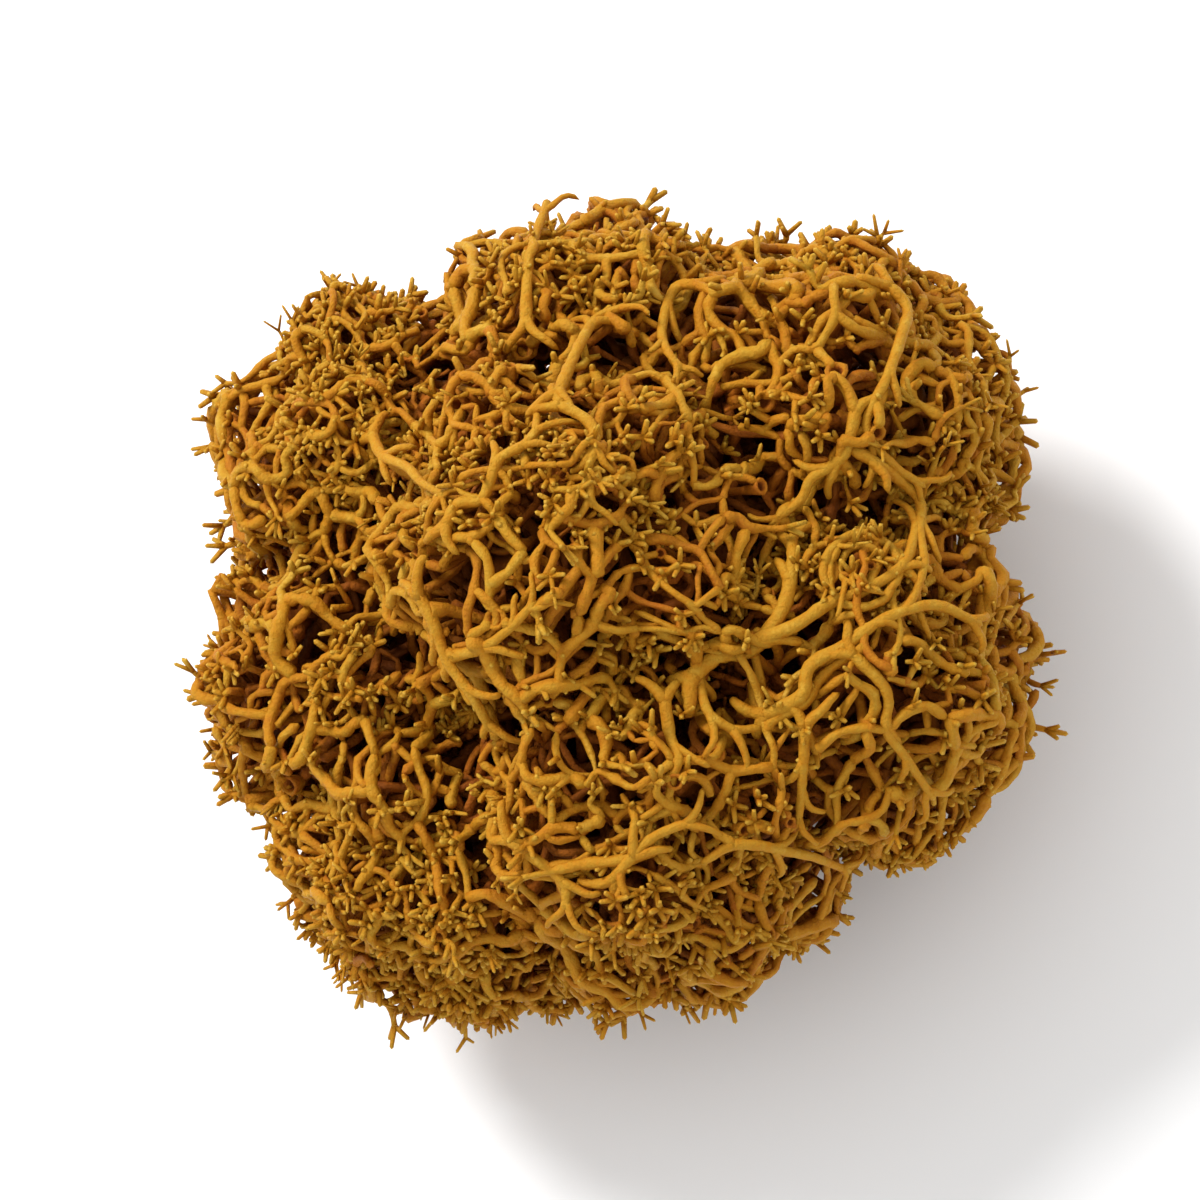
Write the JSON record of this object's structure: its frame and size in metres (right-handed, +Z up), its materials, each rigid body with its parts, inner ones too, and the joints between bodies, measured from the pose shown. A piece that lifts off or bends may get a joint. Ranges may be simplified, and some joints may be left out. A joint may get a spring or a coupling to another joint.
{
  "type": "reindeer moss clump",
  "caption": "Domed cushion of preserved, ochre-dyed reindeer moss: richly forked podetia with star-shaped tips, cut flat at the foot, standing on its stems.",
  "frame": {"origin": "on the surface the clump stands on, under the middle of its bounding box", "axes": "+Z up, away from the cut feet; +X along the clump's longest side, to the right in the picture; +Y towards the picture's top"},
  "size_m": [0.056, 0.054, 0.039],
  "materials": {
    "moss": "matt, dry lichen dyed ochre, with paler tips and a darker inside"
  },
  "bodies": {
    "root": {"podetium_middle": "moss", "podetium_upper_left": "moss", "podetium_left": "moss", "podetium_top": "moss", "podetium_upper_right": "moss", "podetium_right": "moss", "podetium_bottom": "moss", "podetium_lower_left": "moss"}
  },
  "joints": []
}
